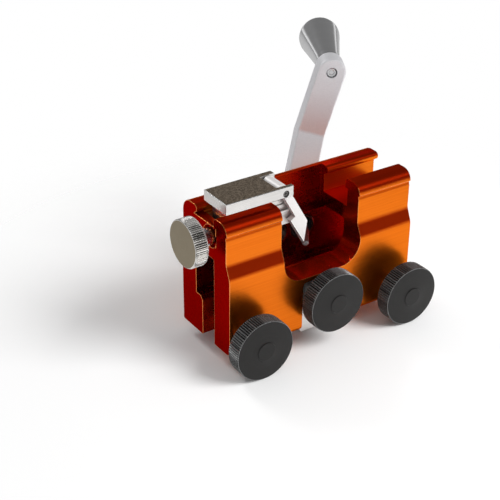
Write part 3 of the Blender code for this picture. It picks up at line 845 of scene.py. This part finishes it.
def makeCarriage():
    c = carriage
    (x0, x1), (y0, y1), (z0, z1) = c["plateX"], c["plateY"], c["plateZ"]
    plate = boxShape("stopCarriage", (x0, y0, z0), (x1, y1, z1))
    softenEdges(plate, c["plateEdge"], edgeSlot=2)
    front, back, low, high = c["foot"]
    neckFront, neckBack = c["neck"]
    legLeft, legRight = c["leg"]
    legTop = z0 + c["legSink"]
    outline = [
        (front, legTop), (front, c["skirt"]), (neckFront, c["skirt"]), (neckFront, high), (front, high),
        (front, low), (back, low), (back, high), (neckBack, high), (neckBack, legTop),
    ]
    leg = applyPlace(drawShape("carriageLeg", outline, legLeft, legRight), turn=profileToX)
    trimX, trimZ = c["trim"]
    trim = boxShape("legTrim", (trimX, front - past, trimZ),
                    (legRight + past, neckBack + past, z0 + 2 * past))
    combine(leg, trim)
    softenEdges(leg, c["legEdge"], edgeSlot=2)
    combine(plate, leg, "UNION")
    depth = c["grooveDepth"]
    for z, half in c["grooves"]:
        groove = boxShape("neckGroove", (legLeft + c["grooveStart"], neckFront - depth, z - half),
                          (legRight + past, neckFront + depth, z + half))
        combine(plate, groove)
    left, clevisFront, clevisBack, clevisLow = c["clevis"]
    combine(plate, boxShape("clevis", (left, clevisFront, clevisLow), (x1 + past, clevisBack, z1 + past)))
    pinX, pinZ, pinRadius = c["pin"]
    drill(plate, pinRadius + shared["pinGap"], -past, c["pinHole"], (pinX, y0, pinZ), alongY)
    drill(plate, shared["leadBore"], -past, c["leadHole"], (legLeft, *shared["leadAxis"]), alongX)

    def carriageFinish(centre, normal, highlighted):
        upright, skin = c["top"]
        # bevel faces get the painted edge highlight; the top gets the blasted finish, darkened as painted
        # shade
        return 2 if highlighted else 1 if normal.z > upright and centre.z > z1 - skin else 0

    finishPiece(plate, [satinAluminium, blastedAluminiumPaintedShade, paleEdgeHighlight], "carriage", "stop_carriage",
                carriageFinish)


pawlPin = {"outline": [(0.95, 0.4), (1.1, 0.55), (1.1, 14.8), (0.85, 15.0)], "recess": (0.72, 0.2, 1.6)}


def makePin():
    pin = turnShape("pawlPin", pawlPin["outline"], 48)
    long, short, depth = pawlPin["recess"]
    for halfX, halfY in ((long, short), (short, long)):  # cross recess in the end
        combine(pin, boxShape("pinRecess", (-halfX, -halfY, 0), (halfX, halfY, depth)))
    pinX, pinZ, _ = carriage["pin"]
    applyPlace(pin, (pinX, carriage["plateY"][0], pinZ), alongY)
    finishPiece(pin, [pinSteel], "carriage", "pawl_pin")


pawl = {
    "right": 2.55,
    "left": 3.45,
    "shank": (0.9, 13.4),  # reach to the left, and length
    "length": 27,
    "cut": 38,
    "thick": 2.6,
    "edge": 0.22,
    "barrel": [(2.4, 0.5), (2.7, 0.8), (2.7, 10.3), (2.4, 10.6)],
    "bore": 12,
    "swing": 30,
    "front": -12.4,
}


def makePawl():
    p = pawl
    pinX, pinZ, pinRadius = carriage["pin"]
    left, right = -p["left"], p["right"]
    shankLeft, shankLength = p["shank"]
    slant = (right - left) / math.tan(math.radians(p["cut"]))
    outline = [(-shankLeft, 0), (-shankLeft, -shankLength), (left, -shankLength), (left, -p["length"])]
    outline += [(right, slant - p["length"])]
    outline += arc((0, 0), right, 0, math.degrees(math.acos(-shankLeft / right)), 14)
    blade = drawShape("stopPawl", outline, -p["thick"], 0)
    softenEdges(blade, p["edge"], edgeSlot=2)
    applyPlace(blade, turn=frontView)
    combine(blade, applyPlace(turnShape("pawlBarrel", p["barrel"], 72), turn=alongY), "UNION")
    drill(blade, pinRadius + shared["pinGap"], -past, p["bore"], turn=alongY)
    swing = Matrix.Rotation(-math.radians(p["swing"]), 4, "Y")
    applyPlace(blade, (pinX, p["front"], pinZ), swing)
    finishPiece(blade, [paleAluminium, paleAluminium, paleEdgeHighlight], "pawl", "stop_pawl")


makeCarriage()
makePin()
makePawl()
print("carriage and pawl made")


# adjuster knob, collar, lead screw and clip

adjuster = {
    "face": -55.9,
    "thickness": 5.8,
    "radius": 9.6,
    "ribs": 72,
    "ribDepth": 0.42,
    "ribEnds": (0.4, -0.4),
    "backRim": [(0.6, 0), (0, -0.5), (0, -2.4), (0, -4.0)],
    "frontRim": [(0, 0.45), (0.3, 0.1), (0.45, 0)],
    "bore": 3.5,
    "lathed": (-0.95, 0.1),  # x of the normal, and depth of the face's skin
    "ribSkins": (0.2, 0.3),
    "ribInset": 0.3,
}
# outlines of radius and x
collar = [(3.0, -49.8), (3.4, -49.4), (3.4, -46.6), (3.05, -46.4), (3.05, -45.9), (3.4, -45.7),
          (3.4, -43.4), (3.1, -43.1), (2.2, -43.1), (2.2, -49.8)]
leadScrew = {"radius": 1.9, "pitch": 0.7, "inKnob": 3.2, "end": -20.5}
leadClip = {"outline": [(2.8, -39.7), (2.8, -38.9), (2.2, -38.9), (2.2, -39.7)],
            "gap": ((-0.7, -4, -40), (0.7, 0, -38)), "edge": 0.1}


def makeAdjusterKnob(y, z):
    a = adjuster
    back = a["face"] + a["thickness"]
    knob = knurledKnob("adjusterKnob", a)
    drill(knob, shared["leadBore"], past, -a["bore"])
    applyPlace(knob, (back, y, z), alongX)
    lathe = {"centre": (0, y, z), "turn": (0, math.radians(90), 0)}
    # the face is painted much darker than the ribs, as shade
    faceShade = makeFinish("adjusterFacePaintedShade", ((0.28, 0.235, 0.16), (0.32, 0.27, 0.19)), (0.38, 0.5), 1,
                            {"Fineness": 4200}, bump=0.25, **lathe)
    ribFinish = makeFinish("adjusterRibs", ((0.82, 0.8, 0.77), (0.94, 0.92, 0.89)), (0.18, 0.3), 0.9,
                           {"Fineness": 2400}, bump=0.15, **lathe)
    # the grooves are painted near black, as shade between the ribs
    grooveShade = makeFinish("adjusterGroovesPaintedShade", ((0.02, 0.019, 0.018), (0.06, 0.056, 0.052)),
                              (0.3, 0.45), 1, {"Fineness": 2400}, bump=0.15, **lathe)

    # the face and the grooves get the painted shade, the rib tips the bright metal
    def knobFinish(centre, normal, highlighted):
        facing, skin = a["lathed"]
        if normal.x < facing and centre.x < a["face"] + skin:
            return 1
        reach = math.hypot(centre.y - y, centre.z - z)
        front, rear = a["ribSkins"]
        ribbed = a["face"] + front < centre.x < back - rear
        return 2 if ribbed and reach < a["radius"] - a["ribInset"] else 0

    finishPiece(knob, [ribFinish, faceShade, grooveShade], "adjuster", "adjuster_knob",
                knobFinish, smooth=40)


def makeAdjuster():
    y, z = shared["leadAxis"]
    makeAdjusterKnob(y, z)

    shoulder = turnShape("adjusterCollar", collar, 72, hollow=True)
    s = leadScrew
    start = adjuster["face"] + adjuster["thickness"] - s["inKnob"]
    screw = threadedRod("leadScrew", s["radius"], s["pitch"], start, s["end"])
    clip = turnShape("leadScrewClip", leadClip["outline"], 48, hollow=True)
    combine(clip, boxShape("clipGap", *leadClip["gap"]))  # the clip is a C, open on one side
    softenEdges(clip, leadClip["edge"])
    for piece, steel, node, slot in (
        (shoulder, brightSteel, "adjuster_collar", "bright_steel"),
        (screw, brightSteel, "lead_screw", "bright_steel"),
        (clip, darkSteel, "lead_screw_clip", "dark_steel"),
    ):
        applyPlace(piece, (0, y, z), alongX)
        finishPiece(piece, [steel], "adjuster", node)


makeAdjuster()
print("adjuster made")


# grinding bit, crank and handle, all along the right guide bore

crank = {
    "near": 26.5,  # the hub's near face, out along the bore
    "offset": 10,
    "thick": 9,
    "width": 12,
    "throw": 54,
    "tilt": 16,
    "hub": 6.5,
    "joggle": ((9, 26), (6, 23)),  # start and end of the slant, near and far side
    "chamfer": 0.8,
    "edge": 0.75,
    "shankBore": 4.3,
    "axleBore": 2.3,
    "screwBore": 1.8,
    "setScrew": [(1.2, -6.0), (1.5, -5.8), (1.5, -4.5), (1.3, -4.3)],
    "hexagon": (0.8, -6.5, -5.0),
}
bit = {
    "outline": [(1.9, 4.0), (2.4, 4.2), (3.85, 5.6), (4.0, 6.0), (4.0, 14), (4.0, 32.8), (3.6, 33.3)],
    "spigot": (1.7, 0, 7.0),
    "flat": ((3.5, -5, 22.3), (6, 5, 34.3)),
    "edge": 0.08,
}
burr = {
    "low": -14.8,
    "high": 3.7,
    "radii": (2.4, 1.2),  # widest, and at the tip
    "tipEdge": (0.5, 0.4),
    "topEdge": (0.35, 0.5),
    "stem": (1.4, 3),
    "rings": 14,
    "flutes": 12,
    "fluteDepth": 0.32,
    "fluteEnds": (0.2, 0.3),
    "fluteFade": 1.5,
    "core": 0.7,
    "twist": 0.055,  # radians a mm
    "fluteSteps": 6,
}
# outlines of radius and height, from the arm's faces, the head's seat or the grip's ends
handle = {
    "axleEnd": [(1.0, 0.9), (1.2, 0.6), (1.7, 0.6), (2.0, 0.9)],
    "axleHead": [(2.0, 0), (3.4, 0), (3.4, 1.5), (3.1, 1.8)],
    "headDepth": 2.1,
    "washer": [(2.3, 0.3), (4.3, 0.3), (4.5, 0.5), (4.5, 0.9), (4.3, 1.1), (2.3, 1.1)],
    "start": 1.4,
    "length": 36,
    "gripFoot": [(2.3, 0), (4.3, 0), (4.8, 0.6)],
    "flare": (4.8, 9.0, 0.6, 32.6, 1.06),  # two radii, start, height and curve
    "flareSteps": 8,
    "gripEnd": [(9.0, -1.6), (8.85, -0.9), (8.4, -0.3), (7.7, 0), (3.9, 0), (3.7, -0.2), (3.7, -2.4),
                (2.3, -2.4)],
}
boreTurn = guideTurn(1)
boreFoot = guidePlace(1)
crankTurn = boreTurn @ Matrix.Rotation(math.radians(crank["tilt"] - 90), 4, "Z")


def makeBit():
    shank = turnShape("bitShank", bit["outline"], 96)
    drill(shank, *bit["spigot"])
    combine(shank, boxShape("shankFlat", *bit["flat"]))  # ground flat for the set screw
    softenEdges(shank, bit["edge"], angle=40)
    applyPlace(shank, boreFoot, crankTurn @ Matrix.Rotation(math.radians(180), 4, "Z"))
    shankFinish = makeFinish(
        "shankSteel", ((0.5, 0.5, 0.51), (0.74, 0.74, 0.75)), (0.12, 0.26), 1,
        {"Fineness": 2600}, bump=0.12, centre=boreFoot, turn=tuple(boreTurn.to_euler()),
    )
    finishPiece(shank, [shankFinish], "bit", "bit_shank")


def makeBurr():
    b = burr
    low, high = b["low"], b["high"]
    wide, narrow = b["radii"]
    (tipInset, tipRise), (topInset, topDrop) = b["tipEdge"], b["topEdge"]
    stemRadius, stemLength = b["stem"]
    middle = (low + high) / 2
    outline = [(narrow - tipInset, low), (narrow, low + tipRise)]
    for step in range(1, b["rings"] + 1):
        height = low + tipRise + (high - low - tipRise - topDrop) * step / b["rings"]
        share = min(1, (height - low) / (middle - low))
        outline.append((narrow + (wide - narrow) * share, height))
    outline += [(wide - topInset, high), (stemRadius, high), (stemRadius, high + stemLength)]
    cutter = turnShape("burrCutter", outline, b["fluteSteps"] * b["flutes"])
    twistFlutes(cutter)
    applyPlace(cutter, boreFoot, boreTurn)
    finishPiece(cutter, [carbide], "bit", "burr", smooth=28)


def twistFlutes(piece):
    # grooves that wind slowly round the burr, deepest at the start of each wedge
    b = burr
    wedge = math.tau / b["flutes"]
    low, high = b["low"] + b["fluteEnds"][0], b["high"] - b["fluteEnds"][1]
    for vertex in piece.data.vertices:
        x, y, z = vertex.co / mm
        if not low < z < high or math.hypot(x, y) < b["core"]:
            continue
        phase = (math.atan2(y, x) / wedge) % 1
        depth = b["fluteDepth"] * (1 - phase) ** 2 * min(1, (z - low) / b["fluteFade"])
        share = 1 - depth / math.hypot(x, y)
        twist = Matrix.Rotation(b["twist"] * (z - low), 4, "Z")
        vertex.co = twist @ Vector((x * share * mm, y * share * mm, z * mm))


def hangOnCrank(piece, location=(0, 0, 0), turn=None):
    # first into the crank's own axes, then out along the guide bore
    applyPlace(piece, location, turn)
    applyPlace(piece, boreFoot, crankTurn)


def makeCrank():
    c = crank
    near, far, thick, hub, throw = c["near"], c["near"] + c["offset"], c["thick"], c["hub"], c["throw"]
    half, chamfer, beyond = c["width"] / 2, c["chamfer"], c["throw"] + c["width"]
    (nearStart, nearEnd), (farStart, farEnd) = c["joggle"]
    side = [
        (-hub, near), (nearStart, near), (nearEnd, far), (beyond, far), (beyond, far + thick),
        (farEnd, far + thick), (farStart, near + thick), (-hub, near + thick),
    ]
    arm = applyPlace(drawShape("crankArm", side, -c["width"], c["width"]), turn=frontView)
    plan = [(chamfer - hub, -half)] + arc((throw, 0), half, -90, 90, 28)
    plan += [(chamfer - hub, half), (-hub, half - chamfer), (-hub, chamfer - half)]
    combine(arm, drawShape("crankPlan", plan, near - past, far + thick + past), "INTERSECT")
    softenEdges(arm, c["edge"], segments=4, angle=28)
    drill(arm, c["shankBore"], near - past, near + thick + past, steps=72)
    drill(arm, c["axleBore"], far - past, far + thick + past, (throw, 0, 0))
    middle = (0, 0, near + thick / 2)
    drill(arm, c["screwBore"], -hub - past, 0, middle, alongX)
    applyPlace(arm, boreFoot, crankTurn)
    finishPiece(arm, [castAluminium], "crank", "crank_arm", smooth=30)

    screw = turnShape("bitSetScrew", c["setScrew"], 48)
    drill(screw, *c["hexagon"], steps=6)
    hangOnCrank(screw, middle, alongX)
    finishPiece(screw, [darkSteel], "crank", "bit_set_screw")


def makeHandle():
    h = handle
    near = crank["near"] + crank["offset"]
    far = near + crank["thick"]
    throw = (crank["throw"], 0, 0)
    gripLow = far + h["start"]
    gripHigh = gripLow + h["length"]
    headLow = gripHigh - h["headDepth"]

    axle = turnShape("handleAxle", lift(h["axleEnd"], near) + lift(h["axleHead"], headLow), 64)
    washer = turnShape("handleWasher", lift(h["washer"], far), 64, hollow=True)
    for piece, node in ((axle, "handle_axle"), (washer, "handle_washer")):
        hangOnCrank(piece, throw)
        finishPiece(piece, [brightSteel], "crank", node)

    small, large, start, rise, curve = h["flare"]
    outline = lift(h["gripFoot"], gripLow)
    for step in range(1, h["flareSteps"] + 1):
        share = step / h["flareSteps"]
        outline.append((small + (large - small) * share ** curve, gripLow + start + rise * share))
    grip = turnShape("crankGrip", outline + lift(h["gripEnd"], gripHigh), 128, hollow=True)
    hangOnCrank(grip, throw)
    gripFinish = makeFinish(
        "gripAluminium", ((0.86, 0.86, 0.87), (0.95, 0.95, 0.96)), (0.1, 0.2), 1,
        {"Fineness": 1800}, bump=0.2, bumpDepth=0.03,
        centre=Vector(boreFoot) + crankTurn @ Vector(throw), turn=tuple(crankTurn.to_euler()),
    )
    finishPiece(grip, [gripFinish], "grip", "crank_grip", smooth=35)


makeBit()
makeBurr()
makeCrank()
makeHandle()
print("bit, crank and handle made")


# floor, lights, world and camera, in metres, watts and degrees

stage = {
    "size": 6,
    "cuts": 6,
    "gap": 0.0002,
    "tones": ((0.9, 0.9, 0.9), (0.92, 0.92, 0.92)),
    "roughness": 0.9,
    "specular": 0.1,
    "mirroredTone": (0.5, 0.5, 0.5),  # metal sees the floor dimmer further out
    "mirroredSpan": (0.08, 0.24),
    "fadeSpan": (0.07, 0.2),
}
# place, target, size, power and whether metal mirrors it
lamps = {
    "keySoftbox": ((0.42, -0.62, 0.62), (0, -0.05, 0.02), (0.5, 0.5), 9.0, False),
    "edgeStrip": ((0.36, -0.6, 0.6), (0, -0.05, 0.03), (0.6, 0.35), 0.5, True),
    "backPanel": ((-0.16, 0.64, 0.64), (0, 0, 0.05), (0.24, 0.2), 1.6, True),
}
sky = {
    "levels": [(0.0, 0.9), (0.03, 0.75), (0.12, 0.2), (1.0, 0.14)],  # pale to the horizon, dark overhead
    "wall": (-0.72, -0.86, 0, 0.85),  # a pale wall far to the left
    "plain": 0.45,
}
camera = {
    "sensor": 36,
    "lens": 85.44,
    "shift": (-0.0011, -0.0067),
    "clipStart": 0.01,
    "place": (-0.24946, -0.33688, 0.25236),
    "angles": (60.742, -0.4, -33.854),
}


def floorMaterial():
    material, tree, shader = newMaterial("studioFloorWhite")
    place = addNode(tree, "TexCoord").outputs["Object"]
    rays = addNode(tree, "LightPath").outputs
    reach = addNode(tree, "VectorMath", {0: place}, operation="LENGTH").outputs["Value"]
    paper = noiseNode(tree, place, scale=3, detail=2, roughness=0.5)
    tone = mixColours(tree, paper, *stage["tones"])
    dimmer = mathNode(tree, "MULTIPLY", rangeNode(tree, reach, *stage["mirroredSpan"]),
                      rays["Is Glossy Ray"])
    tone = mixColours(tree, dimmer, tone, stage["mirroredTone"])
    feed(tree, shader, {"Base Color": tone, "Roughness": stage["roughness"],
                        "Specular IOR Level": stage["specular"]})
    fade = rangeNode(tree, reach, *stage["fadeSpan"], kind="SMOOTHSTEP")
    away = mathNode(tree, "MULTIPLY", fade, rays["Is Camera Ray"])
    surface = mixShaders(tree, away, shader.outputs[0], addNode(tree, "BsdfTransparent").outputs[0])
    feed(tree, tree.nodes["Material Output"], {"Surface": surface})
    return material


def makeFloor():
    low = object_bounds()[0][2]
    floor = newShape("studioFloor", bpy.ops.mesh.primitive_plane_add, size=stage["size"],
                     location=(0, 0, low - stage["gap"]))
    bpy.ops.object.mode_set(mode="EDIT")
    bpy.ops.mesh.subdivide(number_cuts=stage["cuts"])
    bpy.ops.object.mode_set(mode="OBJECT")
    floor.data.materials.append(floorMaterial())


def addLamp(name):
    place, target, size, power, mirrored = lamps[name]
    data = bpy.data.lights.new(name, "AREA")
    data.shape = "RECTANGLE"
    data.size, data.size_y = size
    data.energy = power
    lamp = bpy.data.objects.new(name, data)
    lamp.visible_glossy = mirrored
    lamp.location = place
    aim = Vector(target) - Vector(place)
    lamp.rotation_euler = aim.to_track_quat("-Z", "Y").to_euler()
    bpy.context.scene.collection.objects.link(lamp)


def whiteSky(tree, strength):
    return addNode(tree, "Background", {"Color": (1, 1, 1, 1), "Strength": strength}).outputs[0]


def makeWorld():
    world = bpy.data.worlds.new("studioWorld")
    bpy.context.scene.world = world
    world.use_nodes = True
    tree = world.node_tree
    place = addNode(tree, "TexCoord").outputs["Generated"]
    x, y, z = addNode(tree, "SeparateXYZ", {0: place}).outputs
    fade = addNode(tree, "ValToRGB", {"Fac": z})
    stops = fade.color_ramp.elements  # a new ramp has its two ends
    for position, _ in sky["levels"][1:-1]:
        stops.new(position)
    for stop, (_, level) in zip(stops, sky["levels"]):
        stop.color = (level, level, level, 1)
    wall = rangeNode(tree, x, *sky["wall"])
    backdrop = tree.nodes["Background"]
    feed(tree, backdrop, {"Color": mathNode(tree, "MAXIMUM", fade.outputs["Color"], wall)})
    rays = addNode(tree, "LightPath").outputs
    mirrored = mixShaders(tree, rays["Is Glossy Ray"], whiteSky(tree, sky["plain"]), backdrop.outputs[0])
    seen = mixShaders(tree, rays["Is Camera Ray"], mirrored, whiteSky(tree, 1))
    feed(tree, tree.nodes["World Output"], {"Surface": seen})


def makeCamera():
    data = bpy.data.cameras.new("photoCamera")
    data.sensor_width = camera["sensor"]
    data.lens = camera["lens"]
    data.shift_x, data.shift_y = camera["shift"]
    data.clip_start = camera["clipStart"]
    viewer = bpy.data.objects.new("photoCamera", data)
    viewer.location = camera["place"]
    viewer.rotation_euler = [math.radians(angle) for angle in camera["angles"]]
    bpy.context.scene.collection.objects.link(viewer)
    bpy.context.scene.camera = viewer


makeFloor()
for lampName in lamps:
    addLamp(lampName)
makeWorld()
makeCamera()
bpy.context.scene.view_settings.view_transform = "Standard"

print("scene ready")
